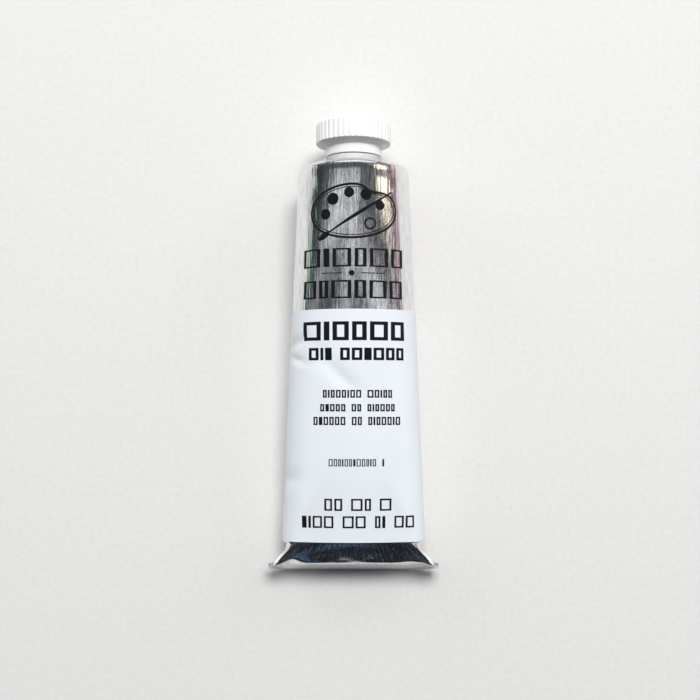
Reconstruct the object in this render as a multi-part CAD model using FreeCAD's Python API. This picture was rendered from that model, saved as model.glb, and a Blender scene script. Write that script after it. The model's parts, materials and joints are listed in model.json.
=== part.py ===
"""Collapsible aluminium paint tube, lying on its back as it is put down on a table.

Frame: millimetres, +Z up, +Y along the neck from the folded tail towards the cap, +X across the tube.
The origin is the centre of the bounding box, on the surface that the tube lies on.

The tube is one impact-extruded piece: a threaded neck, a thick shoulder and a thin wall that runs out of
round towards the tail, where it is pinched flat and folded over.  A "station" is a distance measured from
the rim, where shoulder and wall meet, towards the tail.  A "height" is measured from the rim towards the cap.
"""

import FreeCAD, Part

import math
import os

V = FreeCAD.Vector

# ---- tube wall ----
tube_diameter = 25.0
wall = 0.12
lining = 0.06  # lacquer and clearance between the wall and the paint
taper_length = 83.2  # station where the even taper ends and the pinch begins
taper_width = 32.3  # width of the oval section there
corner_deg_rim = 60.0  # how far each side arc of the section turns up from the level, near the rim
corner_deg_tail = 76.0  # and at the end of the taper, where front and belly are flatter
pinch_length = 5.6  # from the end of the taper to the root of the tail fold
pinch_flare = 1.3  # power law of the width over the pinch
taper_steps = 4
pinch_steps = 5
fold_lift = 1.9  # how far the root of the fold lies above the middle of the last oval
hollow_end = 0.04  # half height at which the hollow stops in the pinch
flat_depth = 0.15  # how far the belly is flattened by lying on it
flat_runout = 8.0  # station where the flat reaches its full depth

# ---- tail fold ----
seal_thickness = 0.1
fold_length = 6.4
fold_droop_deg = 76.0  # how steeply the folded strip hangs, measured from the tube's axis
fold_gap = 0.05  # between two layers of the fold
fold_layers = 3
fold_margin = 1.0  # how much shorter each hidden layer is than the one before it
seal_start = 0.4  # from the root of the fold
seal_length = 4.5
seal_margin = 1.0  # bare width left beside the seal at each end of the fold
seal_play = 0.01

# ---- shoulder and neck ----
rim_round = 0.8
shoulder_height = 3.4
shoulder_thickness = 0.8
shoulder_hollow = 0.25  # how far the cone's outline curves in from a straight line
collar_seat_radius = 6.4  # top of the shoulder's cone
cone_foot_height = 0.7
neck_root_radius = 4.3
neck_height = 9.2  # height of the nozzle's mouth
nozzle_radius = 2.75
nozzle_lip = 0.25  # chamfer round the mouth
paint_level = 0.3  # how far the paint stands below the mouth

# ---- screw thread, right-handed ----
pitch = 1.5
thread_depth = 0.55
neck_ridge_foot = 1.0
neck_ridge_crest = 0.45
neck_thread_rise = 0.9  # middle of the neck ridge's first turn, above the top of the shoulder
neck_thread_drop = 1.0  # middle of its last turn, below the nozzle's mouth
thread_play = 0.15  # radial
cap_ridge_foot = 0.9
cap_ridge_crest = 0.4
cap_thread_drop = 0.85  # middle of the cap ridge's last turn, below the nozzle's mouth
ridge_root = 0.2  # how deep a ridge is sunk into the wall it stands on

# ---- cap ----
cap_seat_play = 0.2  # gap between skirt and shoulder
skirt_radius = 6.3
skirt_height = 2.1
underside_rise = 0.9  # cone between the skirt and the edge of the grip
grip_radius = 8.5
grip_height = 4.6
grip_edge = 0.5
rib_count = 42
groove_radius = 0.42
groove_depth = 0.24
bore_chamfer = 0.35

# ---- liner ----
liner_thickness = 0.8
liner_side_play = 0.1
liner_face_play = 0.02

# ---- label film ----
label_start = 31.5  # station of its edge nearer the cap
tail_bare = 0.2  # bare wall between its other edge and the pinch
adhesive = 0.05
film = 0.1

# ---- places that follow from the sizes ----
label_stack = adhesive + film
axis_z = label_stack + tube_diameter / 2
perimeter = math.pi * tube_diameter
seam_thickness = 2 * wall + seal_thickness
crimp_width = perimeter / 2 - seam_thickness
fold_station = taper_length + pinch_length
label_end = taper_length - tail_bare
droop = math.radians(fold_droop_deg)
layer_step = seam_thickness + fold_gap
bend_radius = (layer_step + seam_thickness) / 2
fold_edge = fold_length - bend_radius
fold_reach = fold_edge * math.cos(droop) - layer_step / 2 * math.sin(droop) + bend_radius

bore_radius = neck_root_radius + thread_depth + thread_play
skirt_foot = shoulder_height + cap_seat_play
grip_foot = skirt_foot + skirt_height + underside_rise
cap_top = grip_foot + grip_height
liner_foot = neck_height + liner_face_play
liner_seat = liner_foot + liner_thickness + liner_face_play
neck_thread_start = shoulder_height + neck_thread_rise
neck_thread_end = neck_height - neck_thread_drop
cap_thread_start = neck_thread_start + pitch / 2
cap_thread_end = neck_height - cap_thread_drop

tail_y = -fold_station - fold_reach
rim_y = -(cap_top + tail_y) / 2


# ---------------------------------------------------------------- tube wall
# A section is an oval of four arcs: two side arcs, whose centres lie on its level middle line, and two
# wide arcs across the top and the belly.  Its girth stays that of the round tube over the whole taper.
def taper_oval(station):
    """Half width, side radius and corner angle of the section at a station of the even taper."""
    share = station / taper_length
    half_width = (tube_diameter + (taper_width - tube_diameter) * share) / 2
    corner = math.radians(corner_deg_rim + (corner_deg_tail - corner_deg_rim) * share)
    spread = (math.pi / 2 - corner) / math.cos(corner)
    side_radius = (perimeter / 4 - half_width * spread) / (math.pi / 2 - spread)
    return half_width, side_radius, corner


def oval_half_height(half_width, side_radius, corner):
    return side_radius + (half_width - side_radius) * (1 - math.sin(corner)) / math.cos(corner)


def outline(station):
    """Half width, top and bottom of the outer wall at a station, before its belly is flattened."""
    share = max(station - taper_length, 0.0) / pinch_length
    even = min(station, taper_length)
    half_width, side_radius, corner = taper_oval(even)
    half_height = oval_half_height(half_width, side_radius, corner)
    centre = label_stack + half_height - flat_depth * min(even / flat_runout, 1.0)
    half_width += (crimp_width / 2 - half_width) * share**pinch_flare
    half_height += (seam_thickness / 2 - half_height) * share
    centre += fold_lift * share
    return half_width, centre + half_height, centre - half_height


def shrunk(station, inset):
    """The outline moved in by inset, measured square to the wall where the pinch makes it steep."""
    half_width, top, bottom = outline(station)
    if station < taper_length:
        return half_width - inset, top - inset, bottom + inset
    step = 0.02
    before = outline(station - step)
    after = outline(min(station + step, fold_station))
    run = min(station + step, fold_station) - (station - step)
    slants = [math.hypot(1.0, (b - a) / run) for a, b in zip(before, after)]
    return half_width - inset * slants[0], top - inset * slants[1], bottom + inset * slants[2]


def oval(station, inset):
    """One closed wire of four arcs across the tube."""
    half_width, top, bottom = shrunk(station, inset)
    centre = V(0, rim_y - station, (top + bottom) / 2)
    if station < taper_length:
        _, side_radius, corner = taper_oval(station)
        side_radius -= inset
    else:
        last_width, last_radius, last_corner = taper_oval(taper_length)
        roundness = last_radius / oval_half_height(last_width, last_radius, last_corner)
        half_height = (top - bottom) / 2
        side_radius = roundness * half_height
        flatness = (half_height - side_radius) / (half_width - side_radius)
        corner = math.pi / 2 - 2 * math.atan(flatness)

    def at(x_sign, z_sign, angle):
        x = half_width - side_radius + side_radius * math.cos(angle)
        return centre + V(x_sign * x, 0, z_sign * side_radius * math.sin(angle))

    crown = V(0, centre.y, top)
    belly = V(0, centre.y, bottom)
    arcs = [
        Part.Arc(at(1, -1, corner), at(1, 1, 0), at(1, 1, corner)),
        Part.Arc(at(1, 1, corner), crown, at(-1, 1, corner)),
        Part.Arc(at(-1, 1, corner), at(-1, 1, 0), at(-1, -1, corner)),
        Part.Arc(at(-1, -1, corner), belly, at(1, -1, corner)),
    ]
    return Part.Wire([arc.toShape() for arc in arcs])


def hollow_station(inset):
    """The last station that still has room for a hollow this far inside the wall."""
    low, high = taper_length, fold_station
    if inset <= 0:
        return high
    for _ in range(40):
        station = (low + high) / 2
        _, top, bottom = shrunk(station, inset)
        if top - bottom > 2 * hollow_end:
            low = station
        else:
            high = station
    return low


def wall_solid(inset):
    """Everything inside the outer wall shrunk by inset, from the rim to the root of the fold."""
    stations = [taper_length * step / taper_steps for step in range(taper_steps + 1)]
    taper = Part.makeLoft([oval(station, inset) for station in stations], True, False)
    reach = hollow_station(inset) - taper_length
    stations = [taper_length + reach * step / pinch_steps for step in range(pinch_steps + 1)]
    pinch = Part.makeLoft([oval(station, inset) for station in stations], True, False)
    return taper.fuse(pinch).common(above(label_stack + inset))


def above(level):
    """A block of all the space over a level, as large as the tube."""
    size = 4 * (fold_station + cap_top)
    return Part.makeBox(size, size, size, V(-size / 2, -size / 2, level))


def on_axis(shape):
    """Carries a shape made round +Z, with the rim at 0, onto the neck's axis."""
    shape.rotate(V(0, 0, 0), V(1, 0, 0), -90)
    shape.translate(V(0, rim_y, axis_z))
    return shape


# ---------------------------------------------------------------- shoulder, neck and thread
def revolved(edges):
    """A solid of revolution round +Z from the edges of a closed half section in the XZ plane."""
    face = Part.Face(Part.Wire(Part.__sortEdges__(edges)))
    return face.revolve(V(0, 0, 0), V(0, 0, 1), 360)


def lines(*points):
    """Straight edges through (radius, height) points."""
    corners = [V(radius, 0, height) for radius, height in points]
    return [Part.makeLine(a, b) for a, b in zip(corners, corners[1:])]


def shoulder_profile():
    """Outer outline of the shoulder from the neck down to the rim, ending in the rim's round."""
    rim_radius = tube_diameter / 2
    foot = V(rim_radius - rim_round, 0, cone_foot_height)
    seat = V(collar_seat_radius, 0, shoulder_height)
    square = V(seat.z - foot.z, 0, foot.x - seat.x).normalize()
    cone = Part.Arc(seat, (seat + foot) * 0.5 - square * shoulder_hollow, foot).toShape()
    round_middle = V(rim_radius - rim_round * (1 - math.sqrt(0.5)), 0, cone_foot_height * math.sqrt(0.5))
    rim = Part.Arc(foot, round_middle, V(rim_radius, 0, 0)).toShape()
    return [cone, rim]


def shoulder_and_neck():
    """The thick end of the tube, still solid, down to the rim."""
    rim_radius = tube_diameter / 2
    inner = lines(
        (rim_radius, 0),
        (0, 0),
        (0, neck_height),
        (neck_root_radius, neck_height),
        (neck_root_radius, shoulder_height),
        (collar_seat_radius, shoulder_height),
    )
    return revolved(inner + shoulder_profile())


def end_cavity(inset, top):
    """The hollow inside shoulder and neck: the cone's inside and the nozzle, up to a given height."""
    rim_radius = tube_diameter / 2 - wall - inset
    nozzle = nozzle_radius - inset
    cone_foot = cone_foot_height - shoulder_thickness / 2 - inset
    cone_top = shoulder_height - shoulder_thickness - inset
    return revolved(
        lines(
            (0, -rim_round),
            (rim_radius - rim_round, -rim_round),
            (rim_radius, 0),
            (rim_radius - rim_round, cone_foot),
            (nozzle, cone_top),
            (nozzle, top),
            (0, top),
            (0, -rim_round),
        )
    )


def ridge(radius, start, end, foot, crest, outward):
    """One helical ridge: a trapezoid swept along a helix, sunk a little into the wall it stands on."""
    side = 1 if outward else -1
    helix = Part.makeHelix(pitch, end - start, radius)
    root = radius - side * ridge_root
    tip = radius + side * thread_depth
    corners = [V(root, 0, -foot / 2), V(root, 0, foot / 2), V(tip, 0, crest / 2), V(tip, 0, -crest / 2)]
    profile = Part.makePolygon(corners + corners[:1])
    swept = Part.Wire(helix).makePipeShell([profile], True, True)
    swept.translate(V(0, 0, start))
    return swept


# ---------------------------------------------------------------- tail fold
def strip_block(first, last, front, back, width):
    """A block in the hanging strip: along it from first to last, through it from back to front."""
    return hang(Part.makeBox(width, last - first, front - back, V(-width / 2, -last, back)))


def strip_bend(along, middle, side):
    """Half a ring that joins two layers of the fold, on the side of its axis away from them."""
    ring = Part.makeCylinder(bend_radius, crimp_width, V(-crimp_width / 2, 0, 0), V(1, 0, 0))
    ring = ring.cut(Part.makeCylinder(fold_gap / 2, crimp_width, V(-crimp_width / 2, 0, 0), V(1, 0, 0)))
    start = -bend_radius if side > 0 else 0
    corner = V(-crimp_width / 2, start, -bend_radius)
    ring = ring.common(Part.makeBox(crimp_width, bend_radius, 2 * bend_radius, corner))
    ring.translate(V(0, -along, middle))
    return hang(ring)


def hang(shape):
    """Turns a strip laid out along -Y from the root of the fold down to the angle at which it hangs."""
    _, top, bottom = outline(fold_station)
    shape.rotate(V(0, 0, 0), V(1, 0, 0), fold_droop_deg)
    shape.translate(V(0, rim_y - fold_station, (top + bottom) / 2))
    return shape


def tail_fold():
    """The flattened end of the tube, turned over twice behind its own front layer."""
    half = seam_thickness / 2
    strip = strip_block(-half, fold_edge, half, -half, crimp_width)
    inner_edge = bend_radius + fold_margin
    for layer in range(1, fold_layers):
        middle = -layer * layer_step
        last = fold_edge - (fold_margin if layer == fold_layers - 1 else 0)
        strip = strip.fuse(strip_block(inner_edge, last, middle + half, middle - half, crimp_width))
        side = 1 if layer % 2 else -1
        along = fold_edge if layer % 2 else inner_edge
        strip = strip.fuse(strip_bend(along, middle + layer_step / 2, side))
    return strip


def seal_slot(play):
    """The slit between the two walls of the fold's first layer, which the sealing band fills."""
    half = seal_thickness / 2 - play
    width = crimp_width - 2 * (seal_margin + play)
    return strip_block(seal_start + play, seal_start + seal_length - play, half, -half, width)


# ---------------------------------------------------------------- the sub-parts
def cavity(inset):
    """The hollow of the tube, shrunk by inset."""
    top = neck_height - paint_level if inset else neck_height + nozzle_lip
    inside = wall_solid(wall + inset)
    return inside.fuse(on_axis(end_cavity(inset, top)))


def tube_body():
    """Neck, shoulder, wall and tail fold: one piece of aluminium."""
    thread = ridge(
        neck_root_radius, neck_thread_start, neck_thread_end, neck_ridge_foot, neck_ridge_crest, True
    )
    end = shoulder_and_neck().fuse(thread)
    lip_foot = neck_height - nozzle_lip
    lip = Part.makeCone(nozzle_radius, nozzle_radius + nozzle_lip, nozzle_lip, V(0, 0, lip_foot))
    end = on_axis(end.cut(lip))
    solid = wall_solid(0.0).fuse(end).fuse(tail_fold())
    return solid.cut(cavity(0.0)).cut(seal_slot(0.0))


def paint_fill():
    """The oil paint that fills the tube up to the nozzle."""
    return cavity(lining)


def tail_seal():
    """Band of latex sealing compound pressed flat inside the fold."""
    return seal_slot(seal_play)


def label_band():
    """Printed film wrapped once round the lower wall."""
    size = 4 * fold_station
    band = Part.makeBox(size, label_end - label_start, size, V(-size / 2, rim_y - label_end, -size / 2))
    return wall_solid(-label_stack).cut(wall_solid(-adhesive)).common(band)


def cap():
    """Moulded screw cap: plain skirt, wide ribbed grip, threaded bore that ends in the liner's seat."""
    outside = lines(
        (bore_radius + bore_chamfer, skirt_foot),
        (skirt_radius, skirt_foot),
        (skirt_radius, skirt_foot + skirt_height),
        (grip_radius, grip_foot),
        (grip_radius, cap_top - grip_edge),
    )
    edge_start = V(grip_radius, 0, cap_top - grip_edge)
    edge_end = V(grip_radius - grip_edge, 0, cap_top)
    edge_middle = V(edge_end.x, 0, edge_start.z) + V(1, 0, 1).normalize() * grip_edge
    edge = Part.Arc(edge_start, edge_middle, edge_end).toShape()
    inside = lines(
        (grip_radius - grip_edge, cap_top),
        (0, cap_top),
        (0, liner_seat),
        (bore_radius, liner_seat),
        (bore_radius, skirt_foot + bore_chamfer),
        (bore_radius + bore_chamfer, skirt_foot),
    )
    shell = revolved(outside + [edge] + inside)
    shell = shell.fuse(
        ridge(bore_radius, cap_thread_start, cap_thread_end, cap_ridge_foot, cap_ridge_crest, False)
    )
    groove_foot = V(grip_radius + groove_radius - groove_depth, 0, grip_foot - grip_height / 2)
    groove = Part.makeCylinder(groove_radius, 2 * grip_height, groove_foot)
    grooves = []
    for rib in range(rib_count):
        copy = groove.copy()
        copy.rotate(V(0, 0, 0), V(0, 0, 1), 360 * rib / rib_count)
        grooves.append(copy)
    return on_axis(shell.cut(Part.makeCompound(grooves)))


def cap_liner():
    """Round foam wad between the top of the cap and the nozzle."""
    disc = Part.makeCylinder(bore_radius - liner_side_play, liner_thickness, V(0, 0, liner_foot))
    return on_axis(disc)


def main():
    os.makedirs("parts", exist_ok=True)
    for make in (tube_body, paint_fill, tail_seal, label_band, cap, cap_liner):
        shape = make()
        print(make.__name__, len(shape.Solids), shape.isValid(), round(shape.Volume, 1))
        shape.exportStep("parts/" + make.__name__ + ".step")
    print("rim_y", round(rim_y, 3), "axis_z", round(axis_z, 3), "length", round(cap_top - tail_y, 3))


main()
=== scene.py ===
import json
import math

import bpy
import numpy as np
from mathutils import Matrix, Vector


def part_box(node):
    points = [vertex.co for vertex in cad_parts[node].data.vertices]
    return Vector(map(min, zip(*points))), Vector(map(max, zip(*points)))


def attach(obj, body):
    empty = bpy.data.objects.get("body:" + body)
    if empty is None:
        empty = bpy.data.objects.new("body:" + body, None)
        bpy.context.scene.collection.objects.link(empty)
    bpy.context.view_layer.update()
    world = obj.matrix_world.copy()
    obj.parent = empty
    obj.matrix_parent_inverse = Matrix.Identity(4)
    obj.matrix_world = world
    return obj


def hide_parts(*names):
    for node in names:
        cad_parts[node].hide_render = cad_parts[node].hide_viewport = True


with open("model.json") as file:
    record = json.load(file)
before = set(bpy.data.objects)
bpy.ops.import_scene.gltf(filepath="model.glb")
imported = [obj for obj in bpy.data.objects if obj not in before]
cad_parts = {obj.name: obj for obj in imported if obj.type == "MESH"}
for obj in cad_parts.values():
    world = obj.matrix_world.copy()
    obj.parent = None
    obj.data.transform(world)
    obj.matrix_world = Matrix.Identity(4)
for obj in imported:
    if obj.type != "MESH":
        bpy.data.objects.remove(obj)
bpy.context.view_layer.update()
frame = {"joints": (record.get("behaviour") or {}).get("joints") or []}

# Looks of a collapsible aluminium paint tube that lies on its back.
#
# Everything is in metres, in the frame of the CAD model: +Y runs along the neck towards the cap, +Z is up.
# A station s is a distance from the rim, where shoulder and wall meet, towards the tail.  A height h is
# measured from the rim towards the cap.  A place round the tube is xi, the distance along the metal from
# the crown, positive towards +X, which stays the same as the round tube is pressed into an oval.

mm = 0.001

# ---- places and sizes read from the frame ----
turn = next(joint for joint in frame["joints"] if joint["name"] == "cap_turn")
rim_y, axis_z = turn["pos_m"][1:]
body_low, body_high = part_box("tube_body")
label_low, label_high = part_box("label_band")
cap_low, cap_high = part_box("cap")
liner_low, liner_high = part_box("cap_liner")

floor_gap = body_low.z
rim_radius = axis_z - floor_gap
half_girth = math.pi * rim_radius
crimp_half = body_high.x
neck_height = body_high.y - rim_y
label_start = rim_y - label_high.y
label_end = rim_y - label_low.y
label_lift = floor_gap  # the film's outer face above the wall
skirt_foot = cap_low.y - rim_y
cap_top = cap_high.y - rim_y
grip_radius = (cap_high.z - cap_low.z) / 2
liner_radius = (liner_high.z - liner_low.z) / 2
liner_foot = liner_low.y - rim_y
liner_top = liner_high.y - rim_y

# ---- sizes of the wall, as the CAD model has them ----
wall = 0.12 * mm
lining = 0.06 * mm
adhesive = 0.05 * mm
taper_length = 83.2 * mm
taper_half_width = 16.15 * mm
corner_rim = math.radians(60)
corner_tail = math.radians(76)
flat_depth = 0.15 * mm
flat_runout = 8 * mm
pinch_length = 5.6 * mm
fold_lift = 1.9 * mm
seam = 0.34 * mm
layer_step = 0.39 * mm
fold_length = 6.4 * mm
fold_margin = 1.0 * mm
droop = math.radians(76)
strip_flare = 0.07  # how much narrower the tail is at the bend of the strip than at its corners
flare_length = 3.0 * mm
strip_rise = 0.68 * mm  # how far the strip runs on above the root of the fold
strip_rise_corner = 0.40 * mm  # and how much further at its ends
seal_thickness = 0.08 * mm
seal_length = 4.4 * mm
seal_start = 0.45 * mm  # from the root of the fold
seal_margin_columns = 3  # columns of the strip that the seal leaves bare at each end

# ---- shoulder, neck and cap ----
rim_round = 0.8 * mm
rim_reach = 1.3 * mm  # how far down the wall the rim's round runs out
cone_foot = 0.7 * mm
shoulder_height = 3.4 * mm
shoulder_thickness = 0.8 * mm
shoulder_hollow = 0.25 * mm
collar_radius = 6.4 * mm
neck_radius = 4.3 * mm
nozzle_radius = 2.75 * mm
nozzle_lip = 0.25 * mm
paint_level = 0.3 * mm
pitch = 1.5 * mm
thread_depth = 0.55 * mm
# Threads: heights of the first and the last turn's middle, half width of the ridge's foot and of its crest.
neck_thread = (4.3 * mm, 8.2 * mm, 0.45 * mm, 0.22 * mm)
cap_thread = (5.05 * mm, 8.35 * mm, 0.4 * mm, 0.2 * mm)
bore_radius = 5.0 * mm
skirt_radius = 6.3 * mm
skirt_height = 2.1 * mm
underside_rise = 0.9 * mm
bore_chamfer = 0.35 * mm
seat_height = 10.04 * mm
gate_depth = 0.16 * mm  # the dimple that the moulding's gate leaves in the top
gate_floor_radius = 0.9 * mm
gate_radius = 1.15 * mm
axis_ring = 0.3 * mm  # radius of the ring that a turned piece closes from
rib_count = 42
rib_depth = 0.24 * mm

# ---- how finely the skins are divided ----
panel_columns = 112
side_columns = 36
columns = 2 * (panel_columns + side_columns)
panel_half = 13.5 * mm  # half width of the front panel that the tail's creases start from
right = slice(panel_columns, panel_columns + side_columns)
belly = slice(panel_columns + side_columns, 2 * panel_columns + side_columns)
left = slice(2 * panel_columns + side_columns, columns)
side_share = np.arange(side_columns) / side_columns


# ======== small maths
def ramp(value, low, high):
    """0 below low, 1 above high, and smooth between."""
    t = np.clip((value - low) / (high - low), 0, 1)
    return t * t * (3 - 2 * t)


def bell(value, centre, width):
    return np.exp(-(((value - centre) / width) ** 2))


def mix(a, b, share):
    return a + (b - a) * share


# ======== the wall's shape
def section(station):
    """The oval at a station: half width, radii of side and crown, corner angle, half arc of the crown."""
    share = np.clip(station / taper_length, 0, 1)
    half_width = mix(rim_radius, taper_half_width, share)
    corner = mix(corner_rim, corner_tail, share)
    spread = (np.pi / 2 - corner) / np.cos(corner)
    side_radius = (half_girth / 2 - half_width * spread) / (np.pi / 2 - spread)
    wide_radius = side_radius + (half_width - side_radius) / np.cos(corner)
    return half_width, side_radius, wide_radius, corner, wide_radius * (np.pi / 2 - corner)


def oval(station, xi):
    """Place and outward direction across the tube (x, z, nx, nz), from the middle of the oval."""
    half_width, side_radius, wide_radius, corner, crown = section(station)
    half_height = side_radius + (half_width - side_radius) * (1 - np.sin(corner)) / np.cos(corner)
    side = 2 * side_radius * corner
    way = np.abs(xi)
    lower = way > (crown + side / 2)
    way = np.where(lower, half_girth - way, way)
    lean = np.where(way < crown, way / wide_radius, np.pi / 2 - corner + (way - crown) / side_radius)
    nx, nz = np.sin(lean), np.cos(lean)
    on_crown = way < crown
    x = np.where(on_crown, wide_radius * nx, half_width - side_radius + side_radius * nx)
    z = np.where(on_crown, half_height - wide_radius * (1 - nz), side_radius * nz)
    down = np.where(lower, -1.0, 1.0)
    left = np.where(xi < 0, -1.0, 1.0)
    return left * x, down * z, left * nx, down * nz, half_height


def place_on_front(station, x):
    """The place round the tube that lies at x, on the upper half of the section."""
    half_width, side_radius, wide_radius, corner, crown = section(station)
    edge = wide_radius * np.cos(corner)
    way = np.abs(x)
    on_crown = wide_radius * np.arcsin(np.clip(way / wide_radius, 0, 1))
    turned = np.arcsin(np.clip((way - half_width + side_radius) / side_radius, -1, 1))
    on_side = crown + side_radius * (turned - (np.pi / 2 - corner))
    return np.sign(x) * np.where(way < edge, on_crown, on_side)


# Handling marks, each pressed in along a line: station, place, length, width, turn of the line in degrees
# from the tube's axis, depth.  All lengths are in mm.
dents = [
    (38.6, -14.2, 1.2, 4.2, 14, 0.40),
    (42.4, -13.8, 1.0, 3.6, -14, 0.34),
    (46.8, -2.2, 4.8, 1.7, 46, 0.36),
    (42.0, -6.8, 3.6, 2.2, 42, 0.24),
    (69.0, -15.2, 1.8, 3.4, 8, 0.32),
    (57.5, 14.8, 4.0, 2.4, 5, 0.14),
    (51.0, 3.0, 9.0, 5.0, -20, 0.10),
    (72.0, 5.5, 6.0, 5.0, 30, 0.08),
    (3.6, -10.8, 2.2, 1.8, 30, 0.16),
    (3.4, 7.4, 2.4, 2.6, -35, 0.10),
    (20.0, -12.5, 8.0, 2.6, 3, 0.12),
    (14.0, 4.5, 9.0, 2.8, -4, 0.07),
    (26.0, 12.6, 5.0, 2.2, -6, 0.12),
    (61.0, 27.0, 8.0, 6.0, 20, 0.25),
    (24.0, -29.0, 7.0, 5.0, -25, 0.22),
]
trough_start = 64 * mm  # station where the front begins to sink between the tail's ridges
trough_depth = 0.55 * mm
trough_inner = (4 * mm, 11 * mm)  # half width of the trough's floor, at its start and at the end of the taper
trough_outer = (7 * mm, 14.5 * mm)  # half width between the tops of the ridges


def rim_drop(station):
    """How far the round of the rim lies inside the rim's radius; a quarter of an ellipse."""
    left = np.clip((rim_reach - station) / (rim_reach + cone_foot), 0, 1)
    return rim_round * (1 - np.sqrt(1 - left**2))


def pressed_in(station, xi):
    """How far the wall is pressed in by handling, at a place on it."""
    depth = np.zeros(np.broadcast(station, xi).shape)
    for along, round_, length, width, turn_deg, deep in dents:
        angle = math.radians(turn_deg)
        a = station / mm - along
        r = xi / mm - round_
        on_line = a * math.cos(angle) + r * math.sin(angle)
        off_line = r * math.cos(angle) - a * math.sin(angle)
        depth = depth + deep * mm * np.exp(-((on_line / length) ** 2) - (off_line / width) ** 2)
    # the front gives way between the two ridges that run up from the ends of the fold
    reach = ramp(station, trough_start, taper_length)
    trough = 1 - ramp(np.abs(xi), mix(*trough_inner, reach), mix(*trough_outer, reach))
    depth = depth + trough_depth * reach**1.5 * trough
    return depth * ramp(station, 0.6 * mm, 3 * mm) + rim_drop(station)


def wall_point(station, xi, lift=0.0):
    """A point at a height of lift over the wall's outer face, on the even taper."""
    x, z, nx, nz, half_height = oval(station, xi)
    out = lift - pressed_in(station, xi)
    sunk = flat_depth * np.clip(station / flat_runout, 0, 1)
    level = floor_gap + half_height - sunk + z + nz * out
    level = np.maximum(level, floor_gap - lift)
    y = np.broadcast_to(rim_y - station, np.broadcast(station, xi).shape)
    return np.stack([x + nx * out, y, level], axis=-1)


def ring_places():
    """Places round the tube of the skin's columns: front panel, +X side, belly, -X side."""
    panel = np.arange(panel_columns) / panel_columns * 2 * panel_half
    side = side_share * (half_girth - 2 * panel_half)
    quarters = [
        panel - panel_half,
        panel_half + side,
        half_girth - panel_half + panel,
        half_girth + panel_half + side,
    ]
    places = np.concatenate(quarters)
    return np.where(places > half_girth, places - 2 * half_girth, places)


xi_ring = ring_places()
angle_ring = xi_ring / rim_radius


def round_ring(radius, height, angle=angle_ring):
    """A ring round the neck's axis; radius may differ from column to column."""
    radius = np.broadcast_to(radius, angle.shape)
    y = np.full(angle.shape, rim_y + height)
    return np.stack([radius * np.sin(angle), y, axis_z + radius * np.cos(angle)], axis=-1)


# ======== the pinch and the fold
across = np.linspace(-1, 1, panel_columns + 1)  # share of the half width, for every column of the front panel
root_rows = 54
neck_rows = 12
fold_rows = 26
hidden_rows = 12  # rows of each layer of the fold that doesn't show
bend_softness = 0.22 * mm
# Where the strip bends before the end of the slope: share of the slope, place across the tail, width.
early_bends = [(0.17, -0.76, 0.09), (0.06, 0.70, 0.14), (0.02, 0.1, 0.2)]
early_all_over = 0.12
slope_crown = 0.10 * mm
# Ripples across the slope: height in mm, waves, phase, share of the slope where they stand, width.
ripples = [(0.035, 17, 0.8, 0.16, 0.13), (0.05, 7.3, 2.1, 0.3, 0.22)]
corner_curl = (0.2 * mm, 0.25 * mm, 0.9 * mm)  # inwards, towards the cap and up
tail_half = 19.46 * mm  # half width of the tail where it meets the strip
gusset_waist = 15.3 * mm  # half width of the drawn-in outline just past the taper
gusset_late = 2.2  # power of the outline's spread towards the strip
pleat_height = 0.34 * mm
hollow_share = 0.86  # share of the pinch where the walls still stand apart
paint_share = 0.84


def fold_frame():
    """For every front column: bend point, foot of the strip, and the strip's up and out directions in YZ."""
    start = wall_point(taper_length, across * panel_half)
    centre_z = floor_gap + oval(taper_length, 0.0)[4] - flat_depth
    out = np.array([-math.sin(droop), math.cos(droop)])
    down = np.array([-math.cos(droop), -math.sin(droop)])
    root = np.array([rim_y - taper_length - pinch_length, centre_z + fold_lift]) + out * seam / 2
    foot = root + down * fold_length
    early = sum(share * bell(across, place, width) for share, place, width in early_bends)
    early = early + early_all_over * (1 - ramp(np.abs(across), 0.84, 1.0))
    lift = strip_rise + strip_rise_corner * ramp(np.abs(across), 0.72, 0.98)
    bend = root - down * lift[:, None]
    bend = start[:, 1:] + (bend - start[:, 1:]) * (1 - early)[:, None]
    up = bend - foot
    reach = np.linalg.norm(up, axis=1)
    up = up / reach[:, None]
    outward = np.stack([-up[:, 1], up[:, 0]], axis=-1)
    return start, bend, np.broadcast_to(foot, bend.shape), up, outward, reach


front_start, bend_yz, foot_yz, strip_up, strip_out, strip_reach = fold_frame()
slope_yz = front_start[:, 1:] - bend_yz
slope_length = np.linalg.norm(slope_yz, axis=1)
slope_up = slope_yz / slope_length[:, None]


def flared(after):
    """Where the columns stand across the tail, at a way past the bend."""
    return across * crimp_half * (1 - strip_flare * (1 - ramp(after, 0, flare_length)))


def front_path(way):
    """Front face at a signed way past the bend, for every front column: up the slope when negative."""
    soft = np.hypot(way, bend_softness)
    before = (soft - way) / 2
    after = (soft + way) / 2
    share = np.clip(before / slope_length, 0, 1)  # 1 at the end of the taper
    raised = slope_crown * 27 / 4 * share**2 * (1 - share)  # 27 / 4: its peak is 1
    for height, waves, phase, place, width in ripples:
        raised = raised + height * mm * np.sin(across * waves + phase) * bell(share, place, width)
    square = np.stack([-slope_up[:, 1], slope_up[:, 0]], axis=-1)
    yz = bend_yz + slope_up * before[:, None] - strip_up * after[:, None] + square * raised[:, None]
    x = mix(flared(after), front_start[:, 0], share)
    return np.concatenate([x[:, None], yz], axis=1)


def strip_point(along, out):
    """A point of the hanging strip, along it from the root of the fold and out from its middle plane."""
    yz = foot_yz + strip_up * (fold_length - along) + strip_out * (out - seam / 2)
    return np.concatenate([flared(strip_reach - fold_length + along)[:, None], yz], axis=1)


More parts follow.
